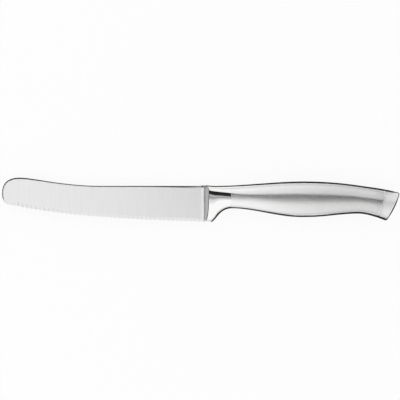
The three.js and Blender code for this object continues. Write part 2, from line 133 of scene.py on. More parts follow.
# Handle outline, measured from the straight line of the spine
LIP_RISE = 0.55
LIP_LENGTH = 6.5
NOSE_DROP = 21.8
GUARD_DROP = 22.2
GUARD_LENGTH = 3.6
SWEEP_AT = 8.3
SWEEP_DROP = 18.15
NECK_HEIGHT = 13.5
NECK_LOW_AT = 2
BELLY_RISE = 2.72
BELLY_DROP = 18.75
BELLY_FLAT = 3.5
PINCH_RISE = 0.35
PINCH_DROP = 16.7
END_TOP_DROP = 4.05
END_DROP = 20.7
SEAM_LEAN = 4.8
END_LEAN = 8.1

# Slopes of the handle's outline at those places: along its back, along its belly side, and of its lean
LIP_SLOPE = -0.06
PINCH_BACK_SLOPE = -0.15
END_BACK_SLOPE = -0.3
NOSE_SLOPE = -0.1
SWEEP_SLOPE = 1.27
NECK_SLOPE = -0.04
BELLY_FRONT_SLOPE = -0.03
BELLY_REAR_SLOPE = 0.01
END_SLOPE = -0.36
SEAM_LEAN_SLOPE = 0.26
END_LEAN_SLOPE = 0.3

# Handle thickness, and how far below the top its thickest line runs, with its slopes
BOLSTER_THICKNESS = 13
BOLSTER_TAPER = -0.03
NECK_THICKNESS = 12.2
BELLY_THICKNESS = 13.2
PINCH_THICKNESS = 11.8
END_THICKNESS = 13
NOSE_CREST = 3
NECK_CREST = 4.95
THROAT_CREST = 7.8
BELLY_CREST = 9.5
PINCH_CREST = 8
END_CREST = 7.3
NOSE_CREST_SLOPE = 0.36
NECK_CREST_SLOPE = 0.207
THROAT_CREST_SLOPE = 0.12
BELLY_CREST_SLOPE = 0.027
PINCH_CREST_SLOPE = -0.08

# How flat the sections are at that line, and how full they stay towards the outline, above and below it
GUARD_UPPER_TURN = 3.3
NECK_UPPER_TURN = 1.76
THROAT_UPPER_TURN = 2.1
BELLY_UPPER_TURN = 1.95
END_UPPER_TURN = 1.64
UPPER_FULLNESS = 2.6
GUARD_LOWER_TURN = 1.45
NECK_LOWER_TURN = 2.7
THROAT_LOWER_TURN = 1.71
BELLY_LOWER_TURN = 2.19
END_LOWER_TURN = 2.3
GUARD_FULLNESS = 3.1
SWEEP_FULLNESS = 2.47
NECK_FULLNESS = 3.65
THROAT_FULLNESS = 4.38
BELLY_FULLNESS = 2.7
END_FULLNESS = 2.23

# Bolster front with the chamfer at its crease, spigots, shells and cap, and the rolls at the cap's seam
BEVEL_RUN = 3
CREASE_BREAK = 0.24
SPIGOT_LENGTH = 6
SPIGOT_INSET = 1.3
SHELL_WALL = 1
SEAM_GAP = 0.04
CAP_DOME = 0.8
CAP_EDGE_RADIUS = 1.1
SEAM_ROLL = 0.12
SHELL_ROLL_RUN = 1.6
CAP_ROLL_RUN = 0.5

# How finely the skins are divided
OVAL_SIDES = 144
HALF_SIDES = 48
PIN_SIDES = 32
COLUMNS_PER_SCALLOP = 12
TIP_COLUMNS = 28
OUTLINE_STEPS = 3000
TANG_RINGS = 8
BEVEL_RINGS = 5
BOLSTER_RINGS = 42
SPIGOT_RINGS = 6
SHELL_RINGS = 96
SHELL_ROLL_RINGS = 9
CAP_ROLL_RINGS = 5
CAP_RINGS = 16
CAP_EDGE_RINGS = 10
CAP_DOME_RINGS = 12
CREASE_HALVINGS = 40

# Where the rows of the blade's columns lie: through the hollow, over the flat and round the back, as shares
HOLLOW_ROWS = (0, 0.12, 0.28, 0.46, 0.64, 0.82, 1)
FLAT_ROWS = (0.35, 0.7, 1)
ROUND_ROWS = (1.1, 1, 0.85, 0.68, 0.5, 0.33, 0.18, 0.06)

# How deep and how finely each column is searched for its hollow, and the most of it that the hollow
# and the rounding of the back may take
DEEPEST_HOLLOW = 5
HOLLOW_STEPS = 400
LARGEST_HOLLOW_SHARE = 0.3
LARGEST_ROUND_SHARE = 0.15

# Points closer than this are merged, and edges shorter than this are dropped
MERGE_DISTANCE = 0.002
SHORTEST_EDGE = 0.001

# Angles in degrees past which the shading breaks at an edge
BLADE_SHARP = 12
BOLSTER_SHARP = 25
SHELL_SHARP = 35
CAP_SHARP = 30

# The spans of a noise's range that set a finish: the middle of it, and the upper part alone
MIDDLE_SPAN = (0.3, 0.7)
UPPER_SPAN = (0.48, 0.62)

# How squarely a surface faces the knife's side where it counts as a rubbed edge, and where as flat
EDGE_FACING = 0.65
FLAT_FACING = 0.9

# Levels of detail in the noises of the steels, and the depth of their grain
GRAIN_DETAIL = 3.0
STREAK_DETAIL = 2.0
GRAIN_DEPTH = 0.01

# Cast resin, with its flow marks and pores as counts per metre along each axis
RESIN_COLOUR = (0.105, 0.085, 0.065)
RESIN_SWING = 0.25
RESIN_ROUGHNESS = (0.75, 0.95)
FLOW_MARKS = (120.0, 300.0, 300.0)
FLOW_DETAIL = 4.0
PORES = (2500.0, 2500.0, 2500.0)
PORE_DETAIL = 2.0
PORE_DEPTH = 0.05
PORE_BUMP = 0.3

# Solids that stay as they are, inside the handle
WEIGHT_COLOUR = (0.4, 0.4, 0.4)
PIN_COLOUR = (0.5, 0.5, 0.5)

# Camera, in millimetres: the width of the knife's plane that it takes in, its place over the knife, and
# its lens and sensor
FRAME_WIDTH = 241.56
VIEW_X = -0.32
VIEW_Y = 0.11
LENS = 200
SENSOR = 36

# Floor and sky
FLOOR_REACH = 6.0
FLOOR_DROP = 0.00005
FLOOR_COLOUR = 0.97
FLOOR_GLOW_SHARE = 0.9
SKY_LEVEL = 0.74

# White light panel, where along the knife its dark window starts and is full, and the window's greys by the
# angle off the zenith, in degrees towards +Y
PANEL_HEIGHT = 0.35
PANEL_REACH = 0.8
WINDOW_FROM = -0.006
WINDOW_FULL = 0.006
WINDOW_PROFILE = (
    (-16, 1.0),
    (-13, 0.8),
    (-10, 0.7),
    (-7, 0.25),
    (-4, 0.65),
    (-3.3, 0.014),
    (13, 0.014),
    (14.5, 0.99),
    (30, 0.88),
    (40, 1.0),
)

# How far from the middle of the stage the ramps of grey reach
RAMP_REACH = 0.3

# Dark cards on the floor, which draw the knife's outline, as corners in metres
CARD_HEIGHT = 0.0005
CARD_GREY = 0.02
SPINE_CARD = (
    (-0.18, 0.09),
    (-0.122, 0.002),
    (-0.115, -0.006),
    (-0.018, -0.004),
    (-0.017, 0.0105),
    (0.001, 0.0105),
    (0.002, -0.004),
    (0.13, -0.002),
    (0.4, -0.002),
    (0.4, 0.012),
    (0.122, 0.016),
    (0.13, 0.05),
    (0.12, 0.085),
    (0.1, 0.08),
    (0.06, 0.065),
    (0.04, 0.045),
    (0.03, 0.034),
    (0.018, 0.0235),
    (0.003, 0.0195),
    (-0.002, 0.016),
    (-0.012, 0.03),
    (-0.012, 0.09),
)
BELLY_CARD = (
    (0.009, -0.002),
    (0.009, -0.028),
    (0.018, -0.028),
    (0.022, -0.06),
    (0.012, -0.2),
    (0.04, -0.2),
    (0.055, -0.06),
    (0.085, -0.06),
    (0.095, -0.1),
    (0.4, -0.2),
    (0.4, -0.002),
)

# Dark flag at the tip's end, which the bolster's bevel sees in the blade
TIP_FLAG_X = -0.45
TIP_FLAG_HALF_WIDTH = 0.4
TIP_FLAG_LOW = 0.05
TIP_FLAG_HIGH = 0.6

# Low dark flag behind the blade's back, taller at the heel and at the tip, as corners along the knife and up
BACK_FLAG_Y = 0.03
BACK_FLAG = (
    (-0.22, 0.0),
    (0.0, 0.0),
    (0.0, 0.012),
    (-0.003, 0.03),
    (-0.01, 0.025),
    (-0.03, 0.0085),
    (-0.09, 0.008),
    (-0.105, 0.012),
    (-0.118, 0.02),
    (-0.22, 0.02),
)

# Dark gauze low over the rear of the handle, with how much of the light it takes away along the knife
GAUZE_HEIGHT = 0.0155
GAUZE_GREY = 0.2
GAUZE_PROFILE = (
    (0.024, 0.0),
    (0.0875, 0.31),
    (0.104, 0.31),
    (0.111, 0.47),
)
GAUZE = (
    (0.024, -0.1),
    (0.1, -0.1),
    (0.1055, -0.02),
    (0.113, 0.008),
    (0.119, 0.02),
    (0.126, 0.04),
    (0.137, 0.1),
    (0.024, 0.1),
)

# The drawing's origin in the part's frame: the tip, the straight spine and the middle plane
blade_low, blade_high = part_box("blade")
middle_height = (cad_box[0].z + cad_box[1].z) / 2
ORIGIN = np.array([blade_low.x, blade_high.y - TIP_RISE * MM, middle_height])


def to_frame(points):
    """Drawn points, in millimetres, as metres in the part's frame."""
    return ORIGIN + np.asarray(points, float) * MM


def curve_through(*stations):
    """A smooth curve through stations of place, value and slope."""
    place, value, slope = np.array(stations, float).T

    def curve(x):
        i = np.clip(np.searchsorted(place, x), 1, len(place) - 1)
        span = place[i] - place[i - 1]
        t = np.clip((x - place[i - 1]) / span, 0, 1)
        rise = t * t * (3 - 2 * t)
        bend = slope[i - 1] * t * (1 - t) ** 2 - slope[i] * t * t * (1 - t)
        return value[i - 1] + (value[i] - value[i - 1]) * rise + bend * span

    return curve


# Handle outline: the back, the belly side, and how far each section leans back at its lower end
top_line = curve_through(
    (NOSE_X, LIP_RISE, LIP_SLOPE),
    (NOSE_X + LIP_LENGTH, 0, 0),
    (BELLY_X, BELLY_RISE, 0),
    (PINCH_X, PINCH_RISE, PINCH_BACK_SLOPE),
    (END_X, -END_TOP_DROP, END_BACK_SLOPE),
)
bottom_line = curve_through(
    (NOSE_X, -NOSE_DROP, NOSE_SLOPE),
    (NOSE_X + GUARD_LENGTH, -GUARD_DROP, 0),
    (NOSE_X + SWEEP_AT, -SWEEP_DROP, SWEEP_SLOPE),
    (BOLSTER_SEAM_X + NECK_LOW_AT, -NECK_HEIGHT, NECK_SLOPE),
    (BELLY_X - BELLY_FLAT, -BELLY_DROP, BELLY_FRONT_SLOPE),
    (BELLY_X + BELLY_FLAT, -BELLY_DROP, BELLY_REAR_SLOPE),
    (PINCH_X, -PINCH_DROP, 0),
    (END_X - END_LEAN, -END_DROP, END_SLOPE),
)
lean_line = curve_through(
    (BELLY_X, 0, 0),
    (CAP_SEAM_X, SEAM_LEAN, SEAM_LEAN_SLOPE),
    (END_X, END_LEAN, END_LEAN_SLOPE),
)
half_thickness = curve_through(
    (NOSE_X, BOLSTER_THICKNESS / 2, BOLSTER_TAPER),
    (BOLSTER_SEAM_X, NECK_THICKNESS / 2, 0),
    (BELLY_X, BELLY_THICKNESS / 2, 0),
    (PINCH_X, PINCH_THICKNESS / 2, 0),
    (END_X, END_THICKNESS / 2, 0),
)
crest_drop = curve_through(
    (NOSE_X, NOSE_CREST, NOSE_CREST_SLOPE),
    (BOLSTER_SEAM_X, NECK_CREST, NECK_CREST_SLOPE),
    (THROAT_X, THROAT_CREST, THROAT_CREST_SLOPE),
    (BELLY_X, BELLY_CREST, BELLY_CREST_SLOPE),
    (PINCH_X, PINCH_CREST, PINCH_CREST_SLOPE),
    (END_X, END_CREST, 0),
)
upper_turn = curve_through(
    (NOSE_X, GUARD_UPPER_TURN, 0),
    (BOLSTER_SEAM_X, NECK_UPPER_TURN, 0),
    (THROAT_X, THROAT_UPPER_TURN, 0),
    (BELLY_X, BELLY_UPPER_TURN, 0),
    (END_X, END_UPPER_TURN, 0),
)
lower_turn = curve_through(
    (NOSE_X, GUARD_LOWER_TURN, 0),
    (BOLSTER_SEAM_X, NECK_LOWER_TURN, 0),
    (THROAT_X, THROAT_LOWER_TURN, 0),
    (BELLY_X, BELLY_LOWER_TURN, 0),
    (END_X, END_LOWER_TURN, 0),
)
lower_fullness = curve_through(
    (NOSE_X, GUARD_FULLNESS, 0),
    (NOSE_X + SWEEP_AT, SWEEP_FULLNESS, 0),
    (BOLSTER_SEAM_X, NECK_FULLNESS, 0),
    (THROAT_X, THROAT_FULLNESS, 0),
    (BELLY_X, BELLY_FULLNESS, 0),
    (END_X, END_FULLNESS, 0),
)


def section(x):
    """The handle's sections at x: their top points, heights and unit vectors up."""
    low_x = x - lean_line(x)
    top = np.stack([x, top_line(x)], -1)
    up = top - np.stack([low_x, bottom_line(low_x)], -1)
    height = np.linalg.norm(up, axis=-1)
    return top, height, up / height[..., None]


def oval(x, angle, inset=0.0):
    """Points of the handle's skin at angles from the top of each section, drawn in by an inset."""
    x, angle, inset = np.broadcast_arrays(x, angle, inset)
    top, height, up = section(x)
    crest = crest_drop(x)
    above = np.cos(angle) >= 0
    reach = np.where(above, crest, height - crest) - inset
    turn = np.where(above, upper_turn(x), lower_turn(x))
    fullness = np.where(above, UPPER_FULLNESS, lower_fullness(x))
    along = np.sign(np.cos(angle)) * reach * np.abs(np.cos(angle)) ** (2 / turn)
    half = half_thickness(x) - inset
    across = np.sign(np.sin(angle)) * half * np.abs(np.sin(angle)) ** (2 / fullness)
    place = top + up * (along - crest)[..., None]
    return np.concatenate([place, across[..., None]], -1)


def full_turn(sides):
    """Even angles once round."""
    return np.arange(sides) * 2 * math.pi / sides


# Meshes
def loft_faces(rings, sides):
    """Quads over rings of equal count, each ring closed on itself."""
    faces = []
    for r in range(rings - 1):
        for i in range(sides):
            a = r * sides + i
            b = r * sides + (i + 1) % sides
            faces.append((a, b, b + sides, a + sides))
    return faces


def closed_loft(rings):
    """Points and faces of a skin over rings, closed by a flat face at each end."""
    rings = np.asarray(rings)
    count, sides = rings.shape[:2]
    faces = loft_faces(count, sides)
    faces.append(tuple(reversed(range(sides))))
    faces.append(tuple(range((count - 1) * sides, count * sides)))
    return rings.reshape(-1, 3), faces


def new_object(name, points, faces):
    """A mesh object at the origin, with doubled points merged and its faces turned outwards."""
    mesh = bpy.data.meshes.new(name)
    mesh.from_pydata(to_frame(points).tolist(), [], faces)
    tidy = bmesh.new()
    tidy.from_mesh(mesh)
    bmesh.ops.remove_doubles(tidy, verts=tidy.verts, dist=MERGE_DISTANCE * MM)
    bmesh.ops.dissolve_degenerate(tidy, edges=tidy.edges, dist=SHORTEST_EDGE * MM)
    bmesh.ops.recalc_face_normals(tidy, faces=tidy.faces)
    tidy.to_mesh(mesh)
    tidy.free()
    made = bpy.data.objects.new(name, mesh)
    bpy.context.scene.collection.objects.link(made)
    return made


def cut(piece, *tools):
    """Cuts the tools' shapes out of a piece and removes them."""
    for tool in tools:
        step = piece.modifiers.new(tool.name, "BOOLEAN")
        step.operation = "DIFFERENCE"
        step.solver = "EXACT"
        step.object = tool
    bpy.context.view_layer.update()
    depsgraph = bpy.context.evaluated_depsgraph_get()
    result = bpy.data.meshes.new_from_object(piece.evaluated_get(depsgraph))
    piece.modifiers.clear()
    piece.data = result
    for tool in tools:
        bpy.data.objects.remove(tool)


def dress(piece, node, material, sharp_degrees):
    """Gives a finished piece its smooth shading and finish, and sets it in place of its solid."""
    piece.data.materials.clear()
    piece.data.materials.append(material)
    piece.data.shade_smooth()
    piece.data.set_sharp_from_angle(angle=math.radians(sharp_degrees))
    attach(piece, "root")
    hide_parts(node)


# Blade
flank_slope = (HEEL_SPINE_THICKNESS - HEEL_EDGE_THICKNESS) / 2 / HEEL_HEIGHT
distal_slope = (HEEL_SPINE_THICKNESS - TIP_SPINE_THICKNESS) / 2 / BLADE_LENGTH


def flat_half(x, y):
    """Half the blade's thickness over its flat-ground flanks."""
    return HEEL_SPINE_THICKNESS / 2 + flank_slope * y + distal_slope * (x - BLADE_LENGTH)


def heel_fillet(x, rise, run):
    """How far a fillet of this rise and run has swelled towards the heel."""
    near = np.clip((x - HEEL_X + run) / run, 0, 1)
    return rise * near**2


def filleted_half(x, y):
    """Half the blade's thickness with the fillet that swells up to the bolster."""
    return flat_half(x, y) + heel_fillet(x, HEEL_FILLET, HEEL_FILLET_RUN)


def bezier(a, b, c, d):
    """Points of a cubic curve from a to d, drawn towards b and c."""
    t = np.linspace(0, 1, OUTLINE_STEPS)[:, None]
    a, b, c, d = (np.array(p, float) for p in (a, b, c, d))
    return a * (1 - t) ** 3 + 3 * b * t * (1 - t) ** 2 + 3 * c * t**2 * (1 - t) + d * t**3


def edge_line():
    """The cutting edge before it is scalloped, from the heel forward to the start of the tip's curve."""
    return bezier(
        (HEEL_X, -HEEL_HEIGHT),
        (HEEL_X - EDGE_HEEL_REACH, -HEEL_HEIGHT - EDGE_HEEL_REACH * EDGE_HEEL_SLOPE),
        (EDGE_START_AT + EDGE_START_REACH, -EDGE_START_DROP + EDGE_START_REACH * EDGE_START_SLOPE),
        (EDGE_START_AT, -EDGE_START_DROP),
    )


def tip_line():
    """The lower curve of the tip, from its foremost point down to the start of the edge."""
    return bezier(
        (0, -TIP_DROP),
        (0, -TIP_DROP - TIP_LOWER_REACH),
        (EDGE_START_AT - EDGE_TIP_REACH, -EDGE_START_DROP - EDGE_TIP_REACH * EDGE_START_SLOPE),
        (EDGE_START_AT, -EDGE_START_DROP),
    )


def spine_line():
    """The back of the blade, from its foremost point to the fillet that rises to the bolster's lip."""
    front = bezier(
        (0, -TIP_DROP),
        (0, -TIP_DROP + TIP_UPPER_REACH),
        (TIP_PEAK_AT - PEAK_FRONT_REACH, TIP_RISE),
        (TIP_PEAK_AT, TIP_RISE),
    )
    rise = bezier(
        (TIP_PEAK_AT, TIP_RISE),
        (TIP_PEAK_AT + PEAK_REAR_REACH, TIP_RISE),
        (SPINE_RISE_AT - SPINE_REACH, 0),
        (SPINE_RISE_AT, 0),
    )
    x = np.linspace(SPINE_RISE_AT, HEEL_X, OUTLINE_STEPS)
    straight = np.stack([x, heel_fillet(x, SPINE_FILLET, SPINE_FILLET_RUN)], -1)
    return np.concatenate([front, rise[1:], straight[1:]])


def arc_lengths(line):
    """The length along a line to each of its points."""
    steps = np.linalg.norm(np.diff(line, axis=0), axis=1)
    return np.concatenate([[0], np.cumsum(steps)])


def along_line(line, lengths, at):
    """Points of a line at lengths along it."""
    return np.stack([np.interp(at, lengths, line[:, k]) for k in (0, 1)], -1)


def blade_columns(edge, spine):
    """Points on the edge and on the spine that the blade's columns join, from the heel to the tip."""
    lengths = arc_lengths(edge)
    column_gap = SCALLOP_PITCH / COLUMNS_PER_SCALLOP
    along = np.append(np.arange(0, lengths[-1], column_gap), lengths[-1])
    feet = along_line(edge, lengths, along)
    lean = HEEL_HEIGHT * -EDGE_START_SLOPE * (1 - feet[:, 0] / HEEL_X)
    head_x = feet[:, 0] + lean * feet[:, 1] / -HEEL_HEIGHT
    tip = tip_line()
    share = np.linspace(1, 0, TIP_COLUMNS + 1)[1:-1] ** 2
    tip_feet_x = share * EDGE_START_AT
    tip_feet = np.stack([tip_feet_x, np.interp(tip_feet_x, tip[:, 0], tip[:, 1])], -1)
    feet = np.concatenate([feet, tip_feet])
    head_x = np.concatenate([head_x, share * head_x[-1]])
    heads = np.stack([head_x, np.interp(head_x, spine[:, 0], spine[:, 1])], -1)
    return feet, heads


def scallop_height(points, edge):
    """How high the grinding wheels leave the left flank at each point."""
    lengths = arc_lengths(edge)
    count = int(lengths[-1] // SCALLOP_PITCH)
    centre_at = (np.arange(count) + 0.5) * SCALLOP_PITCH
    centres = along_line(edge, lengths, centre_at)
    nudge = SCALLOP_DEPTH
    ahead = along_line(edge, lengths, centre_at - nudge) - along_line(edge, lengths, centre_at + nudge)
    forward = ahead / np.linalg.norm(ahead, axis=1, keepdims=True)
    inward = np.stack([-forward[:, 1], forward[:, 0]], -1)
    rise = SCALLOP_DEPTH * math.sin(GRIND_ANGLE)
    radius = ((SCALLOP_PITCH / 2) ** 2 + rise**2) / (2 * rise)
    half = flat_half(centres[:, 0], centres[:, 1])
    axis = radius / math.cos(GRIND_ANGLE) - half - SCALLOP_DEPTH * math.tan(GRIND_ANGLE)
    nearest = np.argmin(np.abs(points[..., 0, None] - centres[:, 0]), axis=-1)
    lowest = np.full(points.shape[:-1], np.inf)
    for shift in (-1, 0, 1):
        i = np.clip(nearest + shift, 0, count - 1)
        offset = points - centres[i]
        aside = np.sum(offset * forward[i], axis=-1)
        deep = np.sum(offset * inward[i], axis=-1)
        sag = np.sqrt(np.clip(radius**2 - aside**2, 0, None)) / math.cos(GRIND_ANGLE)
        lowest = np.minimum(lowest, axis[i] + deep * math.tan(GRIND_ANGLE) - sag)
    return lowest


def first_crossing(values, distances):
    """For each row of rising values, the distance at which they pass zero."""
    after = np.argmax(values > 0, axis=1)
    before = np.clip(after - 1, 0, None)
    rows = np.arange(len(values))
    low = values[rows, before]
    high = values[rows, after]
    share = np.where(after > 0, -low / np.where(high > low, high - low, 1), 0)
    return distances[before] + share * (distances[after] - distances[before])


def back_round(x):
    """How far in from the back its rounding runs."""
    places = [0, TIP_PEAK_AT, HEEL_ROUND_FROM, HEEL_X]
    return np.interp(x, places, [TIP_ROUND, SPINE_ROUND, SPINE_ROUND, HEEL_ROUND])


def edge_rounding(points, spine):
    """The share of the full thickness that the rounded back and tip leave at each point."""
    tip = tip_line()
    outline = np.concatenate([spine, tip])
    tip_run = np.interp(tip[:, 0], [0, EDGE_START_AT], [TIP_ROUND, EDGE_START_ROUND])
    runs = np.concatenate([back_round(spine[:, 0]), tip_run])
    tree = KDTree(len(outline))
    for k, (x, y) in enumerate(outline):
        tree.insert((x, y, 0), k)
    tree.balance()
    share = np.empty(points.shape[:-1])
    for place in np.ndindex(share.shape):
        x, y = points[place]
        _, k, distance = tree.find((x, y, 0))
        share[place] = min(distance / runs[k], 1)
    return (1 - (1 - share) ** ROUND_SHAPE) ** (1 / ROUND_SHAPE)


def blade_rows(feet, heads, edge):
    """Distances from the edge, along each column, of the left flank's rows."""
    length = np.linalg.norm(heads - feet, axis=1)
    direction = (heads - feet) / length[:, None]
    deep = np.linspace(0, DEEPEST_HOLLOW, HOLLOW_STEPS)
    points = feet[:, None] + direction[:, None] * deep[None, :, None]
    hollow = scallop_height(points, edge)
    half = flat_half(points[..., 0], points[..., 1])
    most = LARGEST_HOLLOW_SHARE * length
    start = np.minimum(first_crossing(hollow + half, deep), most / 2)
    end = np.clip(first_crossing(hollow - half, deep), EDGE_START_ROUND, most)
    tang_low = (HEEL_HEIGHT - TANG_TOP_DROP - TANG_HEIGHT) / HEEL_HEIGHT * length
    tang_high = (HEEL_HEIGHT - TANG_TOP_DROP) / HEEL_HEIGHT * length
    turn = np.minimum(back_round(heads[:, 0]), LARGEST_ROUND_SHARE * length)
    rows = [start + (end - start) * share for share in HOLLOW_ROWS]
    rows += [end + (tang_low - end) * share for share in FLAT_ROWS]
    low_row = len(rows) - 1
    rows += [tang_low + (tang_high - tang_low) * share for share in FLAT_ROWS]
    high_row = len(rows) - 1
    rows += [length - turn * share for share in ROUND_ROWS]
    return np.stack(rows, 1), direction, low_row, high_row


def blade_piece(material):
    """The blade, with its scallops, its rounded back and its tang."""
    edge = edge_line()
    spine = spine_line()
    feet, heads = blade_columns(edge, spine)
    rows, direction, low_row, high_row = blade_rows(feet, heads, edge)
    flat = feet[:, None] + direction[:, None] * rows[..., None]
    half = filleted_half(flat[..., 0], flat[..., 1])
    rounded = half * edge_rounding(flat, spine)
    lowest = EDGE_LAND - flat_half(flat[..., 0], flat[..., 1])
    left = np.clip(np.minimum(rounded, scallop_height(flat, edge)), np.minimum(lowest, rounded), None)
    left_rows = np.concatenate([flat, left[..., None]], -1)
    right_rows = np.concatenate([flat, -rounded[..., None]], -1)
    ridge = np.concatenate([heads, np.zeros((len(heads), 1))], -1)[:, None]
    rings = np.concatenate([left_rows, ridge, right_rows[:, ::-1]], 1)
    points, faces = blade_skin(rings, low_row, high_row)
    blade = new_object("knife_blade", points, faces)
    cut(blade, pin_tool(PIN_DIAMETER / 2 + FIT))
    dress(blade, "blade", material, BLADE_SHARP)


def blade_skin(rings, low_row, high_row):
    """Points and faces of the blade over its columns, with the tang grown from the rows that it shares."""
    count, sides = rings.shape[:2]
    faces = loft_faces(count, sides)
    faces.append(tuple(range((count - 1) * sides, count * sides)))
    for i in range((sides - 1) // 2):
        if not low_row <= i < high_row:
            faces.append((i, i + 1, sides - 2 - i, sides - 1 - i))
    tang_rows = range(low_row, high_row + 1)
    around = [*tang_rows, *(sides - 1 - i for i in reversed(tang_rows))]
    heel = rings[0][around]
    tang = tang_rings(heel)
    points = np.concatenate([rings.reshape(-1, 3), tang.reshape(-1, 3)])
    faces += tang_faces(around, count * sides, len(tang))
    return points, faces


def tang_rings(heel):
    """Rings of the tang from just behind the heel to its end, tapering about its middle line."""
    middle = -TANG_TOP_DROP - TANG_HEIGHT / 2
    rings = []
    for share in np.linspace(0, 1, TANG_RINGS):
        x = HEEL_X + HEEL_GAP + (TANG_LENGTH - HEEL_GAP) * share
        taper = 1 + (TANG_END_HEIGHT / TANG_HEIGHT - 1) * share
        y = middle + (heel[:, 1] - middle) * taper
        z = np.sign(heel[:, 2]) * flat_half(x, y)
        rings.append(np.stack([np.full(len(heel), x), y, z], -1))
    return np.array(rings)


def tang_faces(around, first, rings):
    """Faces from the heel's rows over the tang's rings, and its flat end."""
    sides = len(around)
    loops = [around]
    loops += [[first + r * sides + i for i in range(sides)] for r in range(rings)]
    faces = []
    for near, far in zip(loops, loops[1:]):
        for i in range(sides):
            j = (i + 1) % sides
            faces.append((near[i], near[j], far[j], far[i]))
    faces.append(tuple(loops[-1]))
    return faces


def pin_tool(radius):
    """A round bar across the knife at the pin's place."""
    x = BOLSTER_SEAM_X + SPIGOT_LENGTH / 2
    y = -TANG_TOP_DROP - TANG_HEIGHT / 2
    turn = full_turn(PIN_SIDES)
    circle = np.stack([x + radius * np.cos(turn), y + radius * np.sin(turn)], -1)
    rings = [np.column_stack([circle, np.full(len(turn), z)]) for z in (-NECK_THICKNESS, NECK_THICKNESS)]
    return new_object("pin_tool", *closed_loft(rings))


# Bolster
def bevel_height(x, y):
    """How far from the middle plane the bevel of the bolster's front leaves its metal."""
    slope = (BOLSTER_THICKNESS - HEEL_SPINE_THICKNESS) / 2 / BEVEL_RUN
    return flat_half(NOSE_X, y) + slope * (x - NOSE_X)


def crease_places(angles):
    """How far along the knife the bevel meets the rounded skin, at each angle."""
    low = np.full(len(angles), float(NOSE_X))
    high = low + 2 * BEVEL_RUN
    for _ in range(CREASE_HALVINGS):
        middle = (low + high) / 2
        skin = oval(middle, angles)
        proud = np.abs(skin[:, 2]) > bevel_height(middle, skin[:, 1])
        low = np.where(proud, middle, low)
        high = np.where(proud, high, middle)
    return high


def tang_tool():
    """The room for the tang, with its clearance all round, open at the front."""
    top = -TANG_TOP_DROP + FIT
    low = -TANG_TOP_DROP - TANG_HEIGHT - FIT
    taper = (TANG_HEIGHT - TANG_END_HEIGHT) / 2
    front_x = NOSE_X - SPIGOT_LENGTH
    end_x = HEEL_X + TANG_LENGTH + FIT
    rings = []
    for x, high_y, low_y in ((front_x, top, low), (HEEL_X, top, low), (end_x, top - taper, low + taper)):
        ring = []
        for y, side in ((high_y, 1), (low_y, 1), (low_y, -1), (high_y, -1)):
            ring.append((x, y, side * (flat_half(x, y) + FIT)))
        rings.append(ring)
    return new_object("tang_tool", *closed_loft(rings))


def bolster_piece(material):
    """The bolster, from its bevelled front over its crease to the spigot in the shells."""
    angles = full_turn(OVAL_SIDES)
    crease_x = crease_places(angles)
    crease = oval(crease_x, angles)
    front = oval(np.full(OVAL_SIDES, float(NOSE_X)), angles)
    limit = bevel_height(NOSE_X, front[:, 1])
    front[:, 2] = np.clip(front[:, 2], -limit, limit)
    width = np.linalg.norm(crease - front, axis=1)
    chamfer = np.minimum(CREASE_BREAK, width / 2)
    before = crease + (front - crease) * (chamfer / np.maximum(width, FIT))[:, None]
    after_x = crease_x + chamfer
    rings = [front + (before - front) * share for share in np.linspace(0, 1, BEVEL_RINGS)]
    for share in np.linspace(0, 1, BOLSTER_RINGS):
        rings.append(oval(after_x + (BOLSTER_SEAM_X - after_x) * share, angles))
    for x in np.linspace(BOLSTER_SEAM_X, BOLSTER_SEAM_X + SPIGOT_LENGTH, SPIGOT_RINGS):
        rings.append(oval(x, angles, SPIGOT_INSET))
    bolster = new_object("knife_bolster", *closed_loft(rings))
    cut(bolster, tang_tool(), pin_tool(PIN_DIAMETER / 2 + FIT))
    dress(bolster, "bolster", material, BOLSTER_SHARP)


# Handle shells
def shell_places():
    """Where the shells' rings lie, closer together where their rear edge rolls in."""
    start = BOLSTER_SEAM_X + SEAM_GAP
    end = CAP_SEAM_X - SEAM_GAP
    body = np.linspace(start, end - SHELL_ROLL_RUN, SHELL_RINGS)
    roll = end - SHELL_ROLL_RUN * np.linspace(1, 0, SHELL_ROLL_RINGS)[1:]
    return np.append(body, roll)


def shell_piece(side, node, material):
    """One half of the hollow handle, on the left side (1) or the right (-1)."""
    x = shell_places()
    near = np.clip(1 - (CAP_SEAM_X - SEAM_GAP - x) / SHELL_ROLL_RUN, 0, 1)
    angles = np.linspace(0, math.pi, HALF_SIDES + 1)
    outer = oval(x[:, None], angles[None], (SEAM_ROLL * near**2)[:, None])
    inner = oval(x[:, None], angles[None, ::-1], SHELL_WALL)
    rings = np.concatenate([outer, inner], 1)
    thin = half_thickness(x)[:, None]
    rise = np.abs(rings[..., 2]) * (thin - SEAM_GAP / 2) / thin
    rings[..., 2] = side * (rise + SEAM_GAP / 2)
    count, sides = rings.shape[:2]
    faces = loft_faces(count, sides)
    for first in (0, (count - 1) * sides):
        for i in range(HALF_SIDES):
            j = sides - 1 - i
            faces.append((first + i, first + i + 1, first + j - 1, first + j))
    shell = new_object("knife_" + node, rings.reshape(-1, 3), faces)
    dress(shell, node, material, SHELL_SHARP)


# End cap
def cap_end_rings(angles):
    """Rings that round the cap's rim and then rise to a shallow dome."""
    _, _, up = section(np.array([float(END_X)]))
    backward = np.array([up[0, 1], -up[0, 0], 0])
    rings = []
    for turn in np.linspace(0, math.pi / 2, CAP_EDGE_RINGS)[1:]:
        inset = CAP_EDGE_RADIUS * (1 - math.cos(turn))
        step = CAP_EDGE_RADIUS * math.sin(turn)
        rings.append(oval(float(END_X), angles, inset) + backward * step)
    rim = rings[-1]
    middle = rim.mean(axis=0)
    for share in np.linspace(1, 0, CAP_DOME_RINGS)[1:-1]:
        step = CAP_DOME * (1 - share**2)
        rings.append(middle + (rim - middle) * share + backward * step)
    return rings


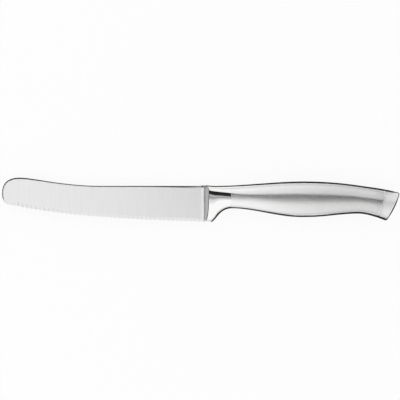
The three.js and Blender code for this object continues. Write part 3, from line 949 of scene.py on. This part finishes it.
def end_cap_piece(material):
    """The cap, from the spigot in the shells to its domed end."""
    angles = full_turn(OVAL_SIDES)
    rings = []
    for x in np.linspace(CAP_SEAM_X - SPIGOT_LENGTH, CAP_SEAM_X, SPIGOT_RINGS):
        rings.append(oval(x, angles, SPIGOT_INSET))
    for share in np.linspace(1, 0, CAP_ROLL_RINGS):
        rings.append(oval(CAP_SEAM_X + CAP_ROLL_RUN * (1 - share), angles, SEAM_ROLL * share**2))
    for x in np.linspace(CAP_SEAM_X + CAP_ROLL_RUN, END_X, CAP_RINGS)[1:]:
        rings.append(oval(x, angles))
    rings += cap_end_rings(angles)
    cap = new_object("knife_end_cap", *closed_loft(rings))
    dress(cap, "end_cap", material, CAP_SHARP)


# Finishes
class Nodes:
    """A material's or world's node tree, with short calls to add and join nodes."""

    def __init__(self, owner):
        owner.use_nodes = True
        self.tree = owner.node_tree
        self.tree.nodes.clear()

    def add(self, kind, links=None, **settings):
        """A new node with its settings, and with its inputs linked to outputs or set to values."""
        node = self.tree.nodes.new(kind)
        for name, value in settings.items():
            setattr(node, name, value)
        for name, value in (links or {}).items():
            socket = node.inputs[name]
            if isinstance(value, bpy.types.NodeSocket):
                self.tree.links.new(value, socket)
            else:
                socket.default_value = value
        return node


def grain_noise(nodes, scale, detail):
    """Noise in the part's own space, stretched by a different count of grains per metre along each axis."""
    place = nodes.add("ShaderNodeTexCoord").outputs["Object"]
    mapped = nodes.add("ShaderNodeMapping", {"Vector": place, "Scale": scale}).outputs["Vector"]
    noise = nodes.add("ShaderNodeTexNoise", {"Vector": mapped, "Scale": 1.0, "Detail": detail})
    return noise.outputs["Fac"]


def between(nodes, factor, low, high, span=MIDDLE_SPAN):
    """A number that runs from low to high as a factor goes through a span of its range."""
    ranged = nodes.add(
        "ShaderNodeMapRange",
        {"Value": factor, "From Min": span[0], "From Max": span[1], "To Min": low, "To Max": high},
    )
    return ranged.outputs["Result"]


def shaded_colour(nodes, colour, factor, swing):
    """A colour that grows lighter and darker by a swing with a noise."""
    level = between(nodes, factor, 1 - swing, 1 + swing)
    mixed = nodes.add("ShaderNodeVectorMath", {0: colour}, operation="SCALE")
    nodes.tree.links.new(level, mixed.inputs["Scale"])
    return mixed.outputs["Vector"]


def rubbed_edges(nodes, roughness, edge_roughness):
    """A roughness that falls on the rounded edges, where the surface turns away from the knife's sides."""
    normal = nodes.add("ShaderNodeNewGeometry").outputs["Normal"]
    axes = nodes.add("ShaderNodeSeparateXYZ", {"Vector": normal}).outputs
    facing = nodes.add("ShaderNodeMath", {0: axes["Z"]}, operation="ABSOLUTE").outputs[0]
    flat = between(nodes, facing, 0, 1, (EDGE_FACING, FLAT_FACING))
    mixed = nodes.add("ShaderNodeMix", {"Factor": flat, "A": edge_roughness, "B": roughness})
    return mixed.outputs["Result"]


def metal(
    name,
    colour,
    roughness,
    swing,
    grain,
    streak,
    bump,
    edge_roughness=None,
    lengthwise=0.0,
    span=MIDDLE_SPAN,
):
    """Steel whose finish follows two noises: a fine grain and broader streaks along the same direction."""
    material = bpy.data.materials.new(name)
    nodes = Nodes(material)
    fine = grain_noise(nodes, grain, GRAIN_DETAIL)
    broad = grain_noise(nodes, streak, STREAK_DETAIL)
    rough = between(nodes, fine, *roughness, span)
    if edge_roughness:
        rough = rubbed_edges(nodes, rough, edge_roughness)
    relief = nodes.add("ShaderNodeBump", {"Height": fine, "Strength": bump, "Distance": GRAIN_DEPTH * MM})
    shader = nodes.add(
        "ShaderNodeBsdfPrincipled",
        {
            "Base Color": shaded_colour(nodes, colour, broad, swing),
            "Metallic": 1.0,
            "Roughness": rough,
            "Anisotropic": lengthwise,
            "Normal": relief.outputs["Normal"],
        },
    )
    if lengthwise:
        around = nodes.add("ShaderNodeTangent", direction_type="RADIAL", axis="X")
        nodes.tree.links.new(around.outputs["Tangent"], shader.inputs["Tangent"])
    nodes.add("ShaderNodeOutputMaterial", {"Surface": shader.outputs["BSDF"]})
    return material


def cast_resin():
    """Dull brown resin with flow marks and fine pores."""
    material = bpy.data.materials.new("cast_resin")
    nodes = Nodes(material)
    flow = grain_noise(nodes, FLOW_MARKS, FLOW_DETAIL)
    pores = grain_noise(nodes, PORES, PORE_DETAIL)
    relief = nodes.add(
        "ShaderNodeBump", {"Height": pores, "Strength": PORE_BUMP, "Distance": PORE_DEPTH * MM}
    )
    shader = nodes.add(
        "ShaderNodeBsdfPrincipled",
        {
            "Base Color": shaded_colour(nodes, RESIN_COLOUR, flow, RESIN_SWING),
            "Roughness": between(nodes, pores, *RESIN_ROUGHNESS),
            "Normal": relief.outputs["Normal"],
        },
    )
    nodes.add("ShaderNodeOutputMaterial", {"Surface": shader.outputs["BSDF"]})
    return material


def blade_steel():
    """Satin steel, ground across the blade's length."""
    return metal(
        "blade_steel",
        colour=(0.87, 0.87, 0.87),
        roughness=(0.4, 0.5),
        swing=0.02,
        grain=(5000.0, 120.0, 5000.0),
        streak=(700.0, 25.0, 700.0),
        bump=0.15,
        edge_roughness=0.14,
    )


def bolster_steel():
    """Polished steel with the faintest polishing haze."""
    return metal(
        "bolster_steel",
        colour=(0.95, 0.95, 0.945),
        roughness=(0.05, 0.09),
        swing=0.01,
        grain=(900.0, 2500.0, 2500.0),
        streak=(120.0, 300.0, 300.0),
        bump=0.02,
    )


def shell_steel():
    """Satin steel, brushed along the handle."""
    return metal(
        "shell_steel",
        colour=(0.94, 0.94, 0.935),
        roughness=(0.138, 0.39),
        swing=0.015,
        grain=(4000.0, 25000.0, 25000.0),
        streak=(30.0, 900.0, 900.0),
        bump=0.03,
        edge_roughness=0.15,
        lengthwise=0.8,
        span=UPPER_SPAN,
    )


def cap_steel():
    """Fine matt satin steel with no direction."""
    return metal(
        "cap_steel",
        colour=(0.9, 0.9, 0.9),
        roughness=(0.46, 0.56),
        swing=0.01,
        grain=(4500.0, 4500.0, 4500.0),
        streak=(400.0, 400.0, 400.0),
        bump=0.12,
        edge_roughness=0.2,
    )


def turned_steel(name, colour):
    """Plain steel bar with the marks of the lathe round it."""
    return metal(
        name,
        colour=colour,
        roughness=(0.4, 0.55),
        swing=0.05,
        grain=(6000.0, 200.0, 200.0),
        streak=(800.0, 60.0, 60.0),
        bump=0.2,
    )


def finish_node(node, material):
    """Gives a solid that stays as it is, inside the handle, its own finish."""
    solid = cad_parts[node]
    solid.data.materials.clear()
    solid.data.materials.append(material)


# Stage
def stage_sheet(name, corners, material):
    """A flat piece of the stage, through corners in the part's frame."""
    mesh = bpy.data.meshes.new(name)
    mesh.from_pydata(corners, [], [tuple(range(len(corners)))])
    mesh.materials.append(material)
    sheet = bpy.data.objects.new(name, mesh)
    bpy.context.scene.collection.objects.link(sheet)
    return sheet


def square(reach, height):
    """Corners of a level square round the middle of the knife."""
    return [(x * reach, y * reach, height) for x, y in ((-1, -1), (1, -1), (1, 1), (-1, 1))]


def even_grey(level):
    """An opaque grey."""
    return (level, level, level, 1)


def stage_axes(nodes):
    """Where a point of a sheet lies along each axis of the stage."""
    place = nodes.add("ShaderNodeTexCoord").outputs["Object"]
    return nodes.add("ShaderNodeSeparateXYZ", {"Vector": place}).outputs


def dark_card(name, corners, material):
    """A card that only shows in reflections."""
    card = stage_sheet(name, corners, material)
    card.visible_camera = False
    card.visible_diffuse = False
    card.visible_shadow = False


def floor_finish():
    """A pale matt floor that keeps some shadow, and glows white to the camera and to what reflects it."""
    material = bpy.data.materials.new("floor")
    nodes = Nodes(material)
    light = nodes.add("ShaderNodeLightPath").outputs
    seen = light["Is Camera Ray"]
    for kind in ("Is Glossy Ray", "Is Transmission Ray"):
        seen = nodes.add("ShaderNodeMath", {0: seen, 1: light[kind]}, operation="MAXIMUM").outputs[0]
    share = nodes.add("ShaderNodeMath", {0: seen, 1: FLOOR_GLOW_SHARE}, operation="MULTIPLY").outputs[0]
    matt = nodes.add("ShaderNodeBsdfDiffuse", {"Color": even_grey(FLOOR_COLOUR)})
    glow = nodes.add("ShaderNodeEmission", {"Strength": 1.0})
    mixed = nodes.add("ShaderNodeMixShader", {0: share, 1: matt.outputs[0], 2: glow.outputs[0]})
    nodes.add("ShaderNodeOutputMaterial", {"Surface": mixed.outputs[0]})
    return material


def grey_ramp(nodes, place, profile):
    """Greys along one axis of the stage, through pairs of place and grey."""
    ranged = nodes.add(
        "ShaderNodeMapRange", {"Value": place, "From Min": -RAMP_REACH, "From Max": RAMP_REACH}
    )
    ramp = nodes.add("ShaderNodeValToRGB", {"Fac": ranged.outputs["Result"]})
    stops = ramp.color_ramp.elements
    while len(stops) < len(profile):
        stops.new(1.0)
    for stop, (at, level) in zip(stops, profile):
        stop.position = 0.5 + at / RAMP_REACH / 2
        stop.color = even_grey(level)
    return ramp.outputs["Color"]


def panel_finish():
    """White light with a dark window over the handle that fades to white towards the blade."""
    material = bpy.data.materials.new("light_panel")
    nodes = Nodes(material)
    axes = stage_axes(nodes)
    window_edges = []
    for angle, level in WINDOW_PROFILE:
        window_edges.append((math.tan(math.radians(angle)) * PANEL_HEIGHT, level))
    window = grey_ramp(nodes, axes["Y"], window_edges)
    inside = nodes.add(
        "ShaderNodeMapRange", {"Value": axes["X"], "From Min": WINDOW_FROM, "From Max": WINDOW_FULL}
    )
    greys = {"Factor": inside.outputs["Result"], "A": even_grey(1), "B": window}
    colour = nodes.add("ShaderNodeMix", greys, data_type="RGBA")
    glow = nodes.add("ShaderNodeEmission", {"Color": colour.outputs["Result"], "Strength": 1.0})
    nodes.add("ShaderNodeOutputMaterial", {"Surface": glow.outputs[0]})
    return material


def card_finish():
    """Dull near-black card."""
    material = bpy.data.materials.new("dark_card")
    nodes = Nodes(material)
    matt = nodes.add("ShaderNodeBsdfDiffuse", {"Color": even_grey(CARD_GREY)})
    nodes.add("ShaderNodeOutputMaterial", {"Surface": matt.outputs[0]})
    return material


def gauze_finish():
    """A gauze that lets less and less light through along the handle."""
    material = bpy.data.materials.new("dark_gauze")
    nodes = Nodes(material)
    share = grey_ramp(nodes, stage_axes(nodes)["X"], GAUZE_PROFILE)
    clear = nodes.add("ShaderNodeBsdfTransparent")
    matt = nodes.add("ShaderNodeBsdfDiffuse", {"Color": even_grey(GAUZE_GREY)})
    mixed = nodes.add("ShaderNodeMixShader", {0: share, 1: clear.outputs[0], 2: matt.outputs[0]})
    nodes.add("ShaderNodeOutputMaterial", {"Surface": mixed.outputs[0]})
    return material


def set_stage():
    """The floor, the light panel over the knife, and what only reflections see."""
    stage_sheet("floor", square(FLOOR_REACH, -FLOOR_DROP), floor_finish())
    panel = stage_sheet("light_panel", square(PANEL_REACH, PANEL_HEIGHT), panel_finish())
    panel.visible_camera = False
    dark = card_finish()
    dark_card("spine_card", [(x, y, CARD_HEIGHT) for x, y in SPINE_CARD], dark)
    dark_card("belly_card", [(x, y, CARD_HEIGHT) for x, y in BELLY_CARD], dark)
    tip_flag = []
    for side, z in ((-1, TIP_FLAG_LOW), (1, TIP_FLAG_LOW), (1, TIP_FLAG_HIGH), (-1, TIP_FLAG_HIGH)):
        tip_flag.append((TIP_FLAG_X, side * TIP_FLAG_HALF_WIDTH, z))
    dark_card("tip_flag", tip_flag, dark)
    dark_card("back_flag", [(x, BACK_FLAG_Y, z) for x, z in BACK_FLAG], dark)
    dark_card("gauze", [(x, y, GAUZE_HEIGHT) for x, y in GAUZE], gauze_finish())


def set_world():
    """An even pale sky."""
    world = bpy.data.worlds.new("studio")
    nodes = Nodes(world)
    sky = nodes.add("ShaderNodeBackground", {"Color": even_grey(1), "Strength": SKY_LEVEL})
    nodes.add("ShaderNodeOutputWorld", {"Surface": sky.outputs[0]})
    bpy.context.scene.world = world


def set_camera():
    """A long lens straight above the knife, with the spine at the top of the picture."""
    data = bpy.data.cameras.new("camera")
    data.lens = LENS
    data.sensor_width = SENSOR
    camera = bpy.data.objects.new("camera", data)
    distance = FRAME_WIDTH * MM * LENS / SENSOR
    camera.location = (VIEW_X * MM, VIEW_Y * MM, middle_height + distance)
    bpy.context.scene.collection.objects.link(camera)
    bpy.context.scene.camera = camera


# The knife and its stage
blade_piece(blade_steel())
bolster_piece(bolster_steel())
handle_steel = shell_steel()
shell_piece(1, "left_handle_shell", handle_steel)
shell_piece(-1, "right_handle_shell", handle_steel)
end_cap_piece(cap_steel())
finish_node("handle_filler", cast_resin())
finish_node("balance_weight", turned_steel("weight_steel", WEIGHT_COLOUR))
finish_node("tang_pin", turned_steel("pin_steel", PIN_COLOUR))
set_stage()
set_world()
set_camera()
bpy.context.scene.view_settings.view_transform = "Standard"
